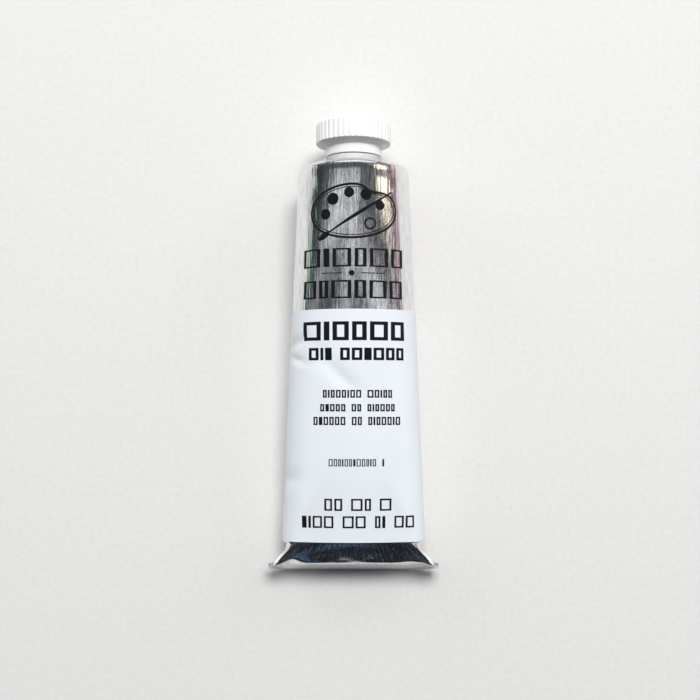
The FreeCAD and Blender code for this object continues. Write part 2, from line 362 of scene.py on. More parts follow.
def curled(points, along):
    """The loose corners of the strip curl out and up a little."""
    share = ramp(np.abs(across), 0.90, 1.0) * np.clip(along / fold_length, 0, 1) ** 2
    inward, capward, rise = corner_curl
    return points + np.stack([-np.sign(across) * inward * share, capward * share, rise * share], axis=-1)


def fold_middle():
    """The folded sheet's middle line in the strip: list of (along, out, normal along, normal out)."""
    edge = fold_length - (layer_step + seam) / 2
    inner = (layer_step + seam) / 2 + fold_margin
    radius = layer_step / 2
    turn_over = [(math.sin(a), math.cos(a)) for a in math.pi * np.linspace(0, 1, 9)[1:-1]]
    line = [(along, 0.0, 0.0, 1.0) for along in np.linspace(0, edge, fold_rows)]
    line += [(edge + radius * sine, radius * (cosine - 1), sine, cosine) for sine, cosine in turn_over]
    line += [(along, -layer_step, 0.0, -1.0) for along in np.linspace(edge, inner, hidden_rows)]
    line += [(inner - radius * sine, radius * (cosine - 3), sine, -cosine) for sine, cosine in turn_over]
    last = np.linspace(inner, edge - fold_margin, hidden_rows)
    return line + [(along, -2 * layer_step, 0.0, 1.0) for along in last]


def gusset(first, last, bulge, share, from_front):
    """One side of a ring in the pinch: drawn in between front and belly, with a pleat near the front."""
    folded = mix(first, last, side_share[:, None]) + bulge * (1 - share)
    drawn_in = mix(taper_half_width, tail_half, share) - mix(gusset_waist, tail_half, share**gusset_late)
    dip = max(drawn_in, 0) * ramp(share, 0, 0.07)
    folded[:, 0] -= np.sign(folded[:, 0]) * dip * (1 - np.abs(2 * side_share - 1) ** 1.7)
    folded[:, 2] += pleat_height * bell(from_front, 0.13, 0.05) * bell(share, 0.5, 0.3)
    return folded


def pinch_rings():
    """Rings of the wall from the end of the taper to the root of the fold."""
    start = wall_point(taper_length, xi_ring)
    right_bulge = start[right] - mix(front_start[-1], start[belly][0], side_share[:, None])
    left_bulge = start[left] - mix(start[left][0], front_start[0], side_share[:, None])
    back = curled(strip_point(0.0, -seam / 2), 0.0)[::-1]
    total = root_rows + neck_rows
    rings = []
    for row in range(1, total + 1):
        if row <= root_rows:
            way = -slope_length * (1 - row / root_rows) ** 1.15  # closer together towards the bend
        else:
            way = (strip_reach - fold_length) * (row - root_rows) / neck_rows
        front = front_path(way)
        share = row / total
        under = mix(start[belly], back[:-1], share)
        corner = mix(start[left][0], back[-1], share)
        ring = np.empty((columns, 3))
        ring[:panel_columns] = front[:-1]
        ring[right] = gusset(front[-1], under[0], right_bulge, share, side_share)
        ring[belly] = under
        ring[left] = gusset(corner, front[0], left_bulge, share, 1 - side_share)
        rings.append(ring)
    return rings


def strip_rows():
    """Points of the strip's two faces, row by row down the folded sheet, and the rows' stations."""
    fronts, backs, stations = [], [], []
    for number, (along, out, *normal) in enumerate(fold_middle()):
        step_along, step_out = (part * seam / 2 for part in normal)
        if number < fold_rows:
            face = front_path(strip_reach - fold_length + along)
        else:
            face = strip_point(along + step_along, out + step_out)
        fronts.append(curled(face, along))
        backs.append(curled(strip_point(along - step_along, out - step_out), along))
        stations.append(taper_length + pinch_length + along)
    return np.array(fronts), np.array(backs), np.array(stations)


# ======== building skins
def new_object(name, data):
    made = bpy.data.objects.new(name, data)
    bpy.context.scene.collection.objects.link(made)
    return made


def grid_places(xi, stations):
    """The (place, station) pairs of a grid of rings."""
    return np.stack(np.broadcast_arrays(xi, np.array(stations)[:, None]), axis=-1)


class Skin:
    """Collects grids of points and the faces between them, and makes one mesh object of them."""

    def __init__(self):
        self.points = []
        self.places = []
        self.faces = []
        self.count = 0

    def add(self, points, places=None):
        """Adds a grid of points and returns the grid of their numbers."""
        points = np.asarray(points, float)
        shape = points.shape[:-1]
        number = np.arange(self.count, self.count + int(np.prod(shape))).reshape(shape)
        self.points.append(points.reshape(-1, 3))
        if places is None:
            places = points[..., :2]
        self.places.append(np.broadcast_to(places, shape + (2,)).reshape(-1, 2))
        self.count += number.size
        return number

    def quads(self, grid, wrap=False, flip=False):
        """Faces between neighbouring rows and columns of a grid of numbers."""
        if wrap:
            grid = np.concatenate([grid, grid[:, :1]], axis=1)
        corners = [grid[:-1, :-1], grid[1:, :-1], grid[1:, 1:], grid[:-1, 1:]]
        if flip:
            corners.reverse()
        self.faces += np.stack(corners, axis=-1).reshape(-1, 4).tolist()

    def ladder(self, ring, flip=False):
        """Closes a ring of the tube's skin with rungs from its front to its belly."""
        middle = panel_columns + side_columns // 2
        steps = columns // 2
        top = ring[(middle - np.arange(steps + 1)) % columns]
        under = ring[(middle + np.arange(steps + 1)) % columns]
        for j in range(steps):
            corners = [top[j], top[j + 1], under[j + 1], under[j]]
            corners = [c for n, c in enumerate(corners) if c not in corners[:n]]
            self.faces.append(corners[::-1] if flip else corners)

    def fan(self, ring, centre, flip=False):
        """Closes a ring with triangles that meet in one point."""
        for a, b in zip(ring, np.roll(ring, -1)):
            self.faces.append([b, a, centre] if flip else [a, b, centre])

    def slab(self, top, under, wrap=False):
        """A thin closed plate between two grids of points."""
        upper, lower = self.add(top), self.add(under)
        self.quads(upper, wrap)
        self.quads(lower, wrap, flip=True)
        for row, flip in ((0, False), (-1, True)):
            self.quads(np.stack([lower[row], upper[row]]), wrap, flip)
        if not wrap:
            for column, flip in ((0, True), (-1, False)):
                self.quads(np.stack([lower[:, column], upper[:, column]]), False, flip)

    def build(self, name, material, sharp_deg=30.0):
        mesh = bpy.data.meshes.new(name)
        mesh.from_pydata(np.concatenate(self.points).tolist(), [], self.faces)
        layer = mesh.attributes.new("surface", "FLOAT_VECTOR", "POINT")
        places = np.concatenate(self.places)
        layer.data.foreach_set("vector", np.column_stack([places, np.zeros(len(places))]).ravel())
        mesh.materials.append(material)
        mesh.polygons.foreach_set("use_smooth", [True] * len(mesh.polygons))
        mesh.set_sharp_from_angle(angle=math.radians(sharp_deg))
        mesh.validate()
        return new_object(name, mesh)


def settle(piece, body, slot, *nodes):
    """Rides a piece on its body and hides the CAD nodes that it stands for; slot is not used."""
    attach(piece, body)
    if nodes:
        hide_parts(*nodes)
    return piece


def outward_normals(rings):
    """Unit normals of a closed skin of rings, pointing out of the tube."""
    rows = np.gradient(rings, axis=0)
    round_ = np.roll(rings, -1, axis=1) - np.roll(rings, 1, axis=1)
    normal = np.cross(rows, round_)
    normal /= np.maximum(np.linalg.norm(normal, axis=-1, keepdims=True), 1e-12)
    return normal


# ======== turned profiles
def arc(start, end, sagitta, steps):
    """Points of a shallow arc between two (radius, height) points, bowed to the left of the way."""
    start, end = np.array(start), np.array(end)
    t = np.linspace(0, 1, steps + 1)[:, None]
    chord = end - start
    left = np.array([-chord[1], chord[0]]) / np.linalg.norm(chord)
    return start + chord * t + left * sagitta * 4 * t * (1 - t)


def rounded(corner_points, radii, steps=5):
    """An outline of (radius, height) points with its inner corners rounded."""
    points = [np.array(corner_points[0])]
    for before, corner, after, radius in zip(corner_points, corner_points[1:], corner_points[2:], radii):
        before, corner, after = np.array(before), np.array(corner), np.array(after)
        to_before = (before - corner) / np.linalg.norm(before - corner)
        to_after = (after - corner) / np.linalg.norm(after - corner)
        if radius == 0:
            points.append(corner)
            continue
        for t in np.linspace(0, 1, steps + 1):
            points.append(corner + radius * (to_before * (1 - t) ** 2 + to_after * t**2))
    points.append(np.array(corner_points[-1]))
    return np.array(points)


def resampled(points, step):
    """The same outline with its long straight runs divided."""
    fine = [points[0]]
    for a, b in zip(points, points[1:]):
        pieces = max(1, int(math.ceil(np.linalg.norm(b - a) / step)))
        fine += [a + (b - a) * k / pieces for k in range(1, pieces + 1)]
    return np.array(fine)


def ridge(height, angle, first_turn, last_turn, half_foot, half_crest):
    """Share of the thread's depth at a height and angle: a right-handed ridge that fades out at its ends."""
    turned = np.arctan2(-np.cos(angle), np.sin(angle)) % (2 * math.pi)  # from +X towards -Z
    off = (height - first_turn - pitch * turned / (2 * math.pi) + pitch / 2) % pitch - pitch / 2
    share = 1 - ramp(np.abs(off), half_crest, half_foot)
    ends = ramp(height, first_turn - half_foot, first_turn + 0.2 * mm)
    ends = ends * (1 - ramp(height, last_turn - 0.2 * mm, last_turn + half_foot))
    return share * ends


# ======== the metal tube
def neck_outline():
    """Outline of the outside from the nozzle's mouth down to the rim, as radii and heights; neck_rings puts
    the thread on it.
    """
    mouth = [
        (nozzle_radius + nozzle_lip, neck_height),
        (neck_radius, neck_height),
        (neck_radius, shoulder_height),
        (collar_radius, shoulder_height),
    ]
    outline = resampled(rounded(mouth, (0.12 * mm, 0.15 * mm)), 0.07 * mm)
    foot = (rim_radius - rim_round, cone_foot)
    cone = arc((collar_radius, shoulder_height), foot, -shoulder_hollow, 26)
    rim_heights = np.array([0.68, 0.64, 0.58, 0.50, 0.42, 0.33, 0.24, 0.16, 0.08, 0.0]) * mm
    rim = np.column_stack([rim_radius - rim_drop(-rim_heights), rim_heights])
    return np.concatenate([outline, cone[1:], rim])


def neck_rings(profile):
    rings = []
    for radius, height in profile:
        depth = 0.0
        if abs(radius - neck_radius) < 0.01 * mm:
            depth = thread_depth * ridge(height, angle_ring, *neck_thread)
        rings.append(round_ring(radius + depth, height))
    return rings


def wall_stations(last):
    return np.concatenate([np.linspace(0, 3 * mm, 13)[1:], np.arange(3.4 * mm, last, 0.4 * mm), [last]])


def outer_rings():
    """All outer rings of the metal from the mouth to the root of the fold, and their stations."""
    rings = neck_rings(neck_outline())
    stations = [-(ring[0, 1] - rim_y) for ring in rings]
    for station in wall_stations(taper_length):
        rings.append(wall_point(station, xi_ring))
        stations.append(station)
    pinch = pinch_rings()
    rings += pinch
    stations += list(taper_length + pinch_length * np.arange(1, len(pinch) + 1) / len(pinch))
    return np.array(rings), np.array(stations)


def inner_rings(rings, stations, depth, pinch_share):
    """Rings inside the wall at a depth, from the rim to a share of the pinch."""
    keep = (stations > 0.3 * mm) & (stations < taper_length + pinch_share * pinch_length)
    return (rings - outward_normals(rings) * depth)[keep]


def hollow_profile(inset):
    """Inside of shoulder and nozzle from the rim up, as (radius, height) points."""
    rim = (rim_radius - wall - inset, 0.0)
    knee = (rim_radius - wall - rim_round - inset, 0.3 * mm - inset)
    throat = (nozzle_radius - inset, shoulder_height - shoulder_thickness - inset)
    return rounded([rim, knee, throat, (throat[0], neck_height - nozzle_lip)], (0.4 * mm, 0.3 * mm))


def metal_tube(material, rings, stations):
    skin = Skin()
    outer = skin.add(rings, grid_places(xi_ring, stations))
    skin.quads(outer, wrap=True)

    # inside of the wall, the shoulder and the nozzle, up to the mouth
    inside = inner_rings(rings, stations, wall, hollow_share)
    hollow = [round_ring(radius, height) for radius, height in hollow_profile(0.0)]
    inner = skin.add(np.concatenate([inside[::-1], hollow]))
    skin.quads(inner, wrap=True)
    skin.ladder(inner[0], flip=True)
    skin.quads(np.stack([inner[-1], outer[0]]), wrap=True)

    # the strip: the flattened tail, turned over twice behind its own front layer
    last = outer[-1]
    root_front = last[: panel_columns + 1]
    root_back = last[2 * panel_columns + side_columns - np.arange(panel_columns + 1)]
    front_rows, back_rows, strip_stations = strip_rows()
    places = grid_places(across * panel_half, strip_stations[1:])
    fronts = np.concatenate([root_front[None], skin.add(front_rows[1:], places)])
    backs = np.concatenate([root_back[None], skin.add(back_rows[1:], places)])
    skin.quads(fronts)
    skin.quads(backs, flip=True)
    skin.quads(np.stack([fronts[-1], backs[-1]]))
    for column, flip in ((0, False), (panel_columns, True)):
        skin.quads(np.stack([backs[1:, column], fronts[1:, column]], axis=1), flip=flip)
    right_root = list(last[panel_columns : panel_columns + side_columns + 1])
    left_root = [last[k % columns] for k in range(2 * panel_columns + side_columns, columns + 1)]
    skin.faces.append([backs[1, -1]] + right_root[::-1] + [fronts[1, -1]])
    skin.faces.append([fronts[1, 0]] + left_root[::-1] + [backs[1, 0]])
    return skin.build("metal_tube", material)


# ======== label, paint, seal, liner
def label_skin(material):
    skin = Skin()
    step = 0.25 * mm
    edge = 0.03 * mm  # bevel of the film's cut edges
    stations = np.arange(label_start + step, label_end - 0.05 * mm, step)
    rows = [(label_start, label_lift - edge), (label_start + edge, label_lift)]
    rows += [(station, label_lift) for station in stations]
    rows += [(label_end - edge, label_lift), (label_end, label_lift - edge)]
    rows += [(station, adhesive) for station in (label_end, *stations[::-1], label_start)]
    rings = [wall_point(station, xi_ring, lift) for station, lift in rows]
    grid = skin.add(rings, grid_places(xi_ring, [station for station, lift in rows]))
    skin.quads(np.concatenate([grid, grid[:1]]), wrap=True)
    return skin.build("printed_band", material)


def paint_skin(material, rings, stations):
    skin = Skin()
    inside = inner_rings(rings, stations, wall + lining, paint_share)
    profile = hollow_profile(lining)[:-1]
    top = neck_height - paint_level
    throat = nozzle_radius - lining
    dome = 0.03 * mm
    profile = np.concatenate([profile, [(throat, top - 4 * dome), (0.97 * throat, top - dome)]])
    domed = [(throat * share, top - dome * share**2) for share in (0.85, 0.65, 0.4, 0.2)]
    hollow = [round_ring(radius, height) for radius, height in np.concatenate([profile, domed])]
    grid = skin.add(np.concatenate([inside[::-1], hollow]))
    skin.quads(grid, wrap=True, flip=True)
    skin.ladder(grid[0])
    centre = skin.add(np.array([[0, rim_y + top, axis_z]]))[0]
    skin.fan(grid[-1], centre)
    return skin.build("oil_paint", material)


def seal_skin(material):
    skin = Skin()
    sealed = slice(seal_margin_columns, -seal_margin_columns)
    rows = np.linspace(seal_start, seal_start + seal_length, 12)
    top = np.array([strip_point(along, seal_thickness / 2)[sealed] for along in rows])
    under = np.array([strip_point(along, -seal_thickness / 2)[sealed] for along in rows])
    skin.slab(top, under)
    return skin.build("tail_sealant", material)


def turned_skin(profile_rings, name, material, sharp_deg=30.0):
    """A closed solid of rings whose first and last ring close to a point on the axis."""
    skin = Skin()
    grid = skin.add(np.array(profile_rings))
    skin.quads(grid, wrap=True)
    for row, flip in ((0, False), (-1, True)):
        centre = skin.add(np.array([[0, profile_rings[row][0, 1], axis_z]]))[0]
        skin.fan(grid[row], centre, flip=flip)
    return skin.build(name, material, sharp_deg)


def liner_skin(material):
    soft = 0.08 * mm
    corners = [
        (axis_ring, liner_top),
        (liner_radius, liner_top),
        (liner_radius, liner_foot),
        (axis_ring, liner_foot),
    ]
    outline = resampled(rounded(corners, (soft, soft)), 0.7 * mm)
    return turned_skin([round_ring(r, h) for r, h in outline], "foam_liner", material)


# ======== the cap
rib_steps = 12
cap_columns = rib_count * rib_steps
cap_angle = np.arange(cap_columns) / cap_columns * 2 * math.pi


def cap_rings():
    """Rings of the moulded cap, from the middle of its top, down its outside and up into its bore."""
    grip_foot = skirt_foot + skirt_height + underside_rise
    outside = [
        (0.4 * mm, cap_top - gate_depth),
        (gate_floor_radius, cap_top - gate_depth),
        (gate_radius, cap_top),
        (grip_radius, cap_top),
        (grip_radius, grip_foot),
        (skirt_radius, skirt_foot + skirt_height),
        (skirt_radius, skirt_foot),
        (bore_radius + bore_chamfer, skirt_foot),
        (bore_radius, skirt_foot + bore_chamfer),
        (bore_radius, seat_height),
        (axis_ring, seat_height),
    ]
    radii = [value * mm for value in (0.08, 0.1, 0.55, 0.22, 0.25, 0.15, 0.08, 0.1, 0.15)]
    outline = resampled(rounded(outside, radii, 7), 0.16 * mm)
    groove = (0.5 + 0.5 * np.cos(rib_count * cap_angle)) ** 2.2
    rings = []
    for radius, height in outline:
        change = 0.0
        if radius > grip_radius - 1.0 * mm:
            fade = ramp(radius, grip_radius - 1.1 * mm, grip_radius - 0.25 * mm)
            low_end = ramp(height, grip_foot - 0.1 * mm, grip_foot + 0.5 * mm)
            change = -rib_depth * groove * fade * (0.35 + 0.65 * low_end)
        elif abs(radius - bore_radius) < 0.01 * mm:
            change = -thread_depth * ridge(height, cap_angle, *cap_thread)
        rings.append(round_ring(radius + change, height, cap_angle))
    return rings


# ======== printed marks
ink_step = 0.3 * mm


class Print:
    """Flat marks in the plane of the unrolled wall, laid on the surface as thin plates of ink."""

    def __init__(self, lift):
        self.skin = Skin()
        self.lift = lift

    def plate(self, xi, station, wrap=False):
        top = wall_point(station, xi, self.lift + 0.024 * mm)
        under = wall_point(station, xi, self.lift + 0.004 * mm)
        self.skin.slab(top, under, wrap)

    def bar(self, left, right, first, last):
        """A rectangle between two places round the tube and two stations."""
        across_ = np.linspace(left, right, int(abs(right - left) / ink_step) + 2)
        along = np.linspace(first, last, int(abs(last - first) / ink_step) + 2)
        self.plate(*np.meshgrid(across_, along))

    def box(self, left, right, first, last, stem, beam):
        """The outline of a rectangle, with upright strokes of one width and level ones of another."""
        rings = []
        for inset_x, inset_s in ((0, 0), (stem, beam)):
            corners = [
                (right - inset_x, first + inset_s),
                (right - inset_x, last - inset_s),
                (left + inset_x, last - inset_s),
                (left + inset_x, first + inset_s),
            ]
            steps = np.arange(int((last - first) / ink_step) + 2)
            sides = zip(corners, corners[1:] + corners[:1])
            rings.append([mix(np.array(a), np.array(b), t) for a, b in sides for t in steps / len(steps)])
        grid = np.array(rings)
        self.plate(grid[..., 0], grid[..., 1], wrap=True)

    def stroke(self, points, width, wrap=False):
        """A line of constant width through (place, station) points."""
        points = np.array(points)
        if wrap:
            ahead = np.roll(points, -1, axis=0) - np.roll(points, 1, axis=0)
        else:
            ahead = np.gradient(points, axis=0)
        ahead /= np.linalg.norm(ahead, axis=1, keepdims=True)
        half = np.broadcast_to(width, len(points)) / 2
        side = np.stack([-ahead[:, 1], ahead[:, 0]], axis=-1) * half[:, None]
        grid = np.stack([points - side, points + side])
        self.plate(grid[..., 0], grid[..., 1], wrap)

    def disc(self, place, station, radius, inner=0.0):
        """A dot, or a ring if inner is given."""
        angle = np.arange(40) / 40 * 2 * math.pi
        radii = np.array([radius, max(inner, 0.02 * mm)])[:, None]
        self.plate(place + radii * np.cos(angle), station + radii * np.sin(angle), wrap=True)


space_width = 1.1  # of a space in a row, in proportion
filled_below = 2.4  # a block narrower than this many strokes is filled


def row_of_boxes(marks, left_x, right_x, first, last, widths, gap, stem, beam):
    """A row of empty boxes and narrow blocks between two x, with widths in proportion; 0 is a space."""
    start, end = (place_on_front((first + last) / 2, x * mm) for x in (left_x, right_x))
    gaps = gap * (len(widths) - 1)
    unit = (end - start - gaps * mm) / sum(width or space_width for width in widths)
    at = start
    for width in widths:
        step = (width or space_width) * unit
        if width and step > filled_below * stem * mm:
            marks.box(at, at + step, first, last, stem * mm, beam * mm)
        elif width:
            marks.bar(at, at + step, first, last)
        at += step + gap * mm


# ======== materials
def new_material(name):
    material = bpy.data.materials.new(name)
    material.use_nodes = True
    tree = material.node_tree
    return material, tree, tree.nodes["Principled BSDF"]


def add_node(tree, kind, **inputs):
    node = tree.nodes.new(kind)
    for key, value in inputs.items():
        name = key.replace("_", " ")
        if name in node.inputs:
            node.inputs[name].default_value = value
        else:
            setattr(node, key, value)
    return node


def stretched(tree, scale):
    """The surface's coordinates stretched by a scale for each axis, or the object's by one scale for all."""
    if isinstance(scale, tuple):
        source = add_node(tree, "ShaderNodeAttribute", attribute_name="surface").outputs["Vector"]
    else:
        source = add_node(tree, "ShaderNodeTexCoord").outputs["Object"]
        scale = (scale,) * 3
    mapping = add_node(tree, "ShaderNodeMapping")
    mapping.inputs["Scale"].default_value = scale
    tree.links.new(source, mapping.inputs["Vector"])
    return mapping.outputs["Vector"]


def noise(tree, scale, detail=2.0, roughness=0.5):
    node = add_node(tree, "ShaderNodeTexNoise", Scale=1.0, Detail=detail, Roughness=roughness)
    tree.links.new(stretched(tree, scale), node.inputs["Vector"])
    return node.outputs["Fac"]


def graded(tree, value, stops):
    """A colour ramp of (position, grey or colour) stops on a value."""
    node = add_node(tree, "ShaderNodeValToRGB")
    elements = node.color_ramp.elements
    while len(elements) < len(stops):
        elements.new(0.5)
    for element, (position, colour) in zip(elements, stops):
        element.position = position
        grey = (colour,) * 3 if isinstance(colour, (int, float)) else colour
        element.color = (*grey, 1.0)
    tree.links.new(value, node.inputs["Fac"])
    return node.outputs["Color"]


def dress(tree, shader, colour, rough, normal=None):
    """Gives a shader its colour, roughness and bumps; a plain number is set on the socket itself."""
    tree.links.new(colour, shader.inputs["Base Color"])
    if isinstance(rough, float):
        shader.inputs["Roughness"].default_value = rough
    else:
        tree.links.new(rough, shader.inputs["Roughness"])
    if normal is not None:
        tree.links.new(normal, shader.inputs["Normal"])


def bumped(tree, height, distance, strength=1.0, normal=None):
    node = add_node(tree, "ShaderNodeBump", Distance=distance, Strength=strength)
    tree.links.new(height, node.inputs["Height"])
    if normal is not None:
        tree.links.new(normal, node.inputs["Normal"])
    return node.outputs["Normal"]


def aluminium():
    """Bare drawn aluminium: bright, with fine marks along the tube and a few longer scratches; its colour
    runs light and dark along the marks, partly drawn marks and partly painted reflections of lit streaks.
    """
    material, tree, shader = new_material("bare_aluminium")
    fine = noise(tree, (8000, 260, 1), 3.0, 0.6)
    streak = noise(tree, (2600, 280, 1), 4.0, 0.6)
    broad = noise(tree, (1100, 60, 1), 3.0, 0.55)
    cloud = noise(tree, (420, 90, 1), 3.0)
    # painted reflection: the colour's light and dark streaks along the tube stand partly for the drawn marks
    # and partly for mirrored streaks of the room's light
    marks_and_painted_streaks = [(0.34, (0.66, 0.67, 0.69)), (0.52, (0.86, 0.865, 0.875)), (0.66, (0.92, 0.92, 0.93))]
    rough = graded(tree, fine, [(0.3, 0.06), (0.7, 0.24)])
    normal = bumped(tree, broad, 0.0002, 0.55)
    normal = bumped(tree, streak, 0.00004, 0.7, normal)
    normal = bumped(tree, fine, 0.00001, 0.6, normal)
    normal = bumped(tree, cloud, 0.0002, 0.2, normal)
    shader.inputs["Metallic"].default_value = 1.0
    dress(tree, shader, graded(tree, streak, marks_and_painted_streaks), rough, normal)
    return material


def film():
    """Satin white film with a faint blue cast and a fine print grain."""
    material, tree, shader = new_material("label_film")
    grain = noise(tree, (5200, 5200, 1), 2.0)
    cloud = noise(tree, (90, 45, 1), 3.0)
    colour = graded(tree, cloud, [(0.3, (0.825, 0.875, 0.925)), (0.7, (0.86, 0.905, 0.95))])
    rough = graded(tree, grain, [(0.3, 0.36), (0.7, 0.46)])
    normal = bumped(tree, grain, 0.000004, 0.5)
    normal = bumped(tree, cloud, 0.0003, 0.2, normal)
    shader.inputs["Coat Weight"].default_value = 0.15
    shader.inputs["Coat Roughness"].default_value = 0.25
    dress(tree, shader, colour, rough, normal)
    return material


def ink():
    """Dull black ink, a little thin in places."""
    material, tree, shader = new_material("print_ink")
    worn = noise(tree, 2600, 3.0)
    shader.inputs["Specular IOR Level"].default_value = 0.22
    colour = graded(tree, worn, [(0.3, (0.004, 0.005, 0.007)), (0.75, (0.012, 0.014, 0.018))])
    dress(tree, shader, colour, graded(tree, worn, [(0.3, 0.42), (0.7, 0.6)]))
    return material


def moulded_plastic():
    """Waxy white moulded plastic."""
    material, tree, shader = new_material("cap_plastic")
    grain = noise(tree, 3800, 2.0)
    cloud = noise(tree, 260, 2.0)
    colour = graded(tree, cloud, [(0.3, (0.86, 0.86, 0.855)), (0.7, (0.90, 0.90, 0.895))])
    rough = graded(tree, grain, [(0.3, 0.34), (0.7, 0.46)])
    shader.inputs["Subsurface Weight"].default_value = 0.12
    shader.inputs["Subsurface Radius"].default_value = (0.9, 0.9, 0.9)
    shader.inputs["Subsurface Scale"].default_value = 0.0012
    dress(tree, shader, colour, rough, bumped(tree, grain, 0.00001, 0.4))
    return material


def paste():
    """Thick white oil colour."""
    material, tree, shader = new_material("oil_paint")
    swirl = noise(tree, 420, 4.0)
    colour = graded(tree, swirl, [(0.3, (0.86, 0.85, 0.80)), (0.7, (0.92, 0.91, 0.87))])
    dress(tree, shader, colour, 0.22, bumped(tree, swirl, 0.0002, 0.5))
    return material


def latex():
    """Dull cream sealing compound."""
    material, tree, shader = new_material("seal_latex")
    mottle = noise(tree, 700, 3.0)
    colour = graded(tree, mottle, [(0.3, (0.62, 0.54, 0.40)), (0.7, (0.74, 0.67, 0.52))])
    dress(tree, shader, colour, 0.7)
    return material


def foam():
    """Closed-cell foam wad."""
    material, tree, shader = new_material("liner_foam")
    cells = add_node(tree, "ShaderNodeTexVoronoi", Scale=1.0)
    tree.links.new(stretched(tree, 4500), cells.inputs["Vector"])
    colour = graded(tree, cells.outputs["Distance"], [(0.0, (0.72, 0.72, 0.70)), (0.6, (0.90, 0.90, 0.88))])
    dress(tree, shader, colour, 0.75, bumped(tree, cells.outputs["Distance"], 0.00004, 0.6))
    return material


def pale_floor():
    """Matt pale grey, barely uneven."""
    material, tree, shader = new_material("pale_floor")
    weave = noise(tree, 900, 3.0)
    colour = graded(tree, weave, [(0.3, (0.735, 0.73, 0.717)), (0.7, (0.775, 0.77, 0.757))])
    dress(tree, shader, colour, 0.9)
    return material


# ======== the pieces
rings_out, stations_out = outer_rings()
settle(metal_tube(aluminium(), rings_out, stations_out), "tube", "bare_aluminium", "tube_body")
settle(label_skin(film()), "tube", "label_film", "label_band")
settle(paint_skin(paste(), rings_out, stations_out), "tube", "oil_paint", "paint_fill")
settle(seal_skin(latex()), "tube", "seal_latex", "tail_seal")
settle(liner_skin(foam()), "liner", "liner_foam", "cap_liner")
settle(turned_skin(cap_rings(), "screw_cap", moulded_plastic(), 40.0), "cap", "cap_plastic", "cap")


def emblem(marks):
    """A generic palette with dabs of paint and a brush across it."""
    middle = 10.4 * mm  # station of the palette's middle
    half_long, half_short = 9.6 * mm, 6.0 * mm
    angle = np.arange(120) / 120 * 2 * math.pi
    swell = 1 + 0.05 * np.cos(2 * angle + 0.5) - 0.20 * bell(angle, 5.25, 0.30)
    turned = [half_long * swell * np.cos(angle), middle + half_short * swell * np.sin(angle)]
    outline = np.column_stack(turned)
    marks.stroke(outline, 0.5 * mm, wrap=True)
    inner = np.column_stack([outline[:, 0] * 0.93, middle + (outline[:, 1] - middle) * 0.90])
    marks.stroke(inner, 0.2 * mm, wrap=True)
    marks.disc(3.6 * mm, middle + 2.7 * mm, 1.35 * mm, 0.95 * mm)
    dabs = [(-6.3, 0.6, 1.15), (-4.6, -2.6, 1.3), (-1.0, -3.9, 1.1), (2.7, -3.5, 1.25), (5.9, -1.3, 1.05)]
    for x, s, radius in dabs:
        marks.disc(x * mm, middle + s * mm, radius * mm)
    handle = np.linspace(0, 1, 30)
    along = np.column_stack([mix(-5.6, 8.9, handle) * mm, middle + mix(4.6, -4.4, handle) * mm])
    marks.stroke(along, (0.34 + 0.42 * bell(handle, 0.45, 0.25)) * mm)
    head = np.linspace(0, 1, 12)
    bristles = np.column_stack([mix(-5.6, -8.0, head) * mm, middle + mix(4.6, 6.1, head) * mm])
    marks.stroke(bristles, (0.25 + 1.1 * np.sin(np.pi * (0.15 + 0.8 * head))) * mm)


def print_on_metal(material):
    marks = Print(0.0)
    emblem(marks)
    widths = (3.5, 1.0, 3.0, 1.9, 3.1, 2.4)
    row_of_boxes(marks, -11.0, 10.7, 18.4 * mm, 22.4 * mm, widths, 0.75, 0.80, 0.36)
    for start, end in ((-7.2, -2.5), (1.6, 6.8)):
        marks.bar(start * mm, end * mm, 23.65 * mm, 23.85 * mm)
    marks.disc(-0.45 * mm, 23.75 * mm, 0.62 * mm)
    widths = (2.8, 1.7, 3.5, 2.0, 3.1, 2.8)
    row_of_boxes(marks, -11.0, 10.7, 25.3 * mm, 29.2 * mm, widths, 0.7, 0.80, 0.36)
    return marks.skin.build("marks_on_metal", material)


# Rows of boxes on the film: left and right x, first and last station, widths, gap, stem, beam, in mm.
small = (0.26, 0.34, 0.32)
film_rows = [
    (-11.0, 11.0, 34.2, 38.3, (3.5, 1.0, 2.8, 2.5, 3.2, 2.7), 0.7, 1.0, 0.72),
    (-9.8, 10.9, 39.9, 42.6, (2.4, 0.7, 1.6, 0, 2.2, 2.4, 1.7, 2.5, 2.1, 2.0), 0.42, 0.68, 0.56),
    (-6.7, 8.4, 49.1, 50.8, (1.1, 0.5, 1.1, 1.3, 1.2, 0.5, 1.3, 1.4, 0, 1.7, 1.3, 0.5, 1.1, 1.1), *small),
    (-7.3, 9.0, 52.2, 53.8, (1.2, 1, 1.3, 1.2, 1.2, 0, 1.3, 1.1, 0, 1.1, 0.5, 1.1, 1.3, 1.2, 1.1), *small),
    (-8.8, 10.2, 55.0, 56.8,
     (1.2, 1, 1.3, 1.2, 1.2, 1.3, 0, 1.3, 1.1, 0, 1.1, 0.5, 1.1, 1.3, 1.2, 0.5, 1.3), *small),
    (-5.5, 6.7, 64.3, 65.9,
     (1.1, 0.9, 0.7, 0.4, 0.9, 0.8, 0.6, 1.1, 0.9, 0.7, 0.4, 0.9, 0, 0.5), 0.24, 0.23, 0.2),
    (-6.5, 8.4, 73.1, 75.8, (2.0, 2.0, 0, 2.9, 1.6, 0, 3.0), 0.5, 0.44, 0.38),
    (-11.5, 13.4, 77.0, 79.7, (0.9, 0.5, 1.9, 1.9, 0, 2.2, 2.0, 0, 1.1, 0.6, 0, 1.9, 1.8), 0.42, 0.44, 0.38),
]


def print_on_film(material):
    marks = Print(label_lift)
    for left_x, right_x, first, last, *style in film_rows:
        row_of_boxes(marks, left_x, right_x, first * mm, last * mm, *style)
    return marks.skin.build("marks_on_film", material)


black = ink()
settle(print_on_metal(black), "tube", "print_ink")
settle(print_on_film(black), "tube", "print_ink")


